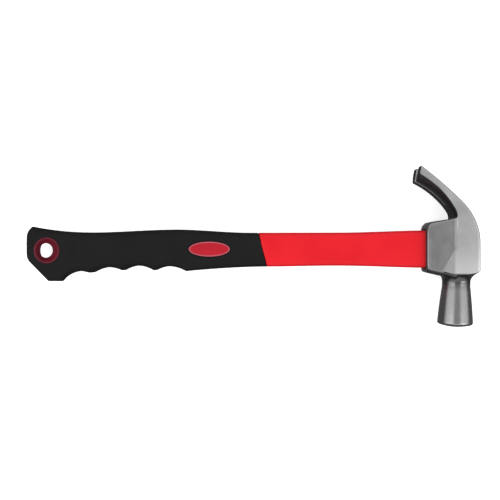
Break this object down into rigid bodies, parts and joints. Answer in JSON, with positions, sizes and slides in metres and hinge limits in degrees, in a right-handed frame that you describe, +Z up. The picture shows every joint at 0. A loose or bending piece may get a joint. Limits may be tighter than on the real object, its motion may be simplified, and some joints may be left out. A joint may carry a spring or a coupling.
{
  "type": "claw hammer",
  "caption": "Claw hammer with a forged steel head, round poll and split claw, a plastic-jacketed handle and a black finger-grooved grip with a hanging hole.",
  "frame": {"origin": "on the flat cheek that the head rests on, where the poll's axis crosses the handle's axis", "axes": "+X along the handle from the butt to the head, +Y from the poll to the claw, +Z up from the resting cheek to the other cheek"},
  "size_m": [0.329, 0.1153, 0.03],
  "materials": {
    "head_steel": "satin forged steel",
    "core_fibre": "glass-fibre reinforced plastic",
    "jacket_red": "smooth moulded",
    "grip_rubber": "soft matt",
    "resin": "cast resin",
    "trim_red": "smooth moulded"
  },
  "bodies": {
    "root": {"hammer_head": "head_steel", "handle_core": "core_fibre", "handle_jacket": "jacket_red", "grip_sleeve": "grip_rubber", "eye_resin": "resin", "hang_hole_liner": "trim_red", "badge_left": "trim_red", "badge_right": "trim_red"}
  },
  "joints": []
}
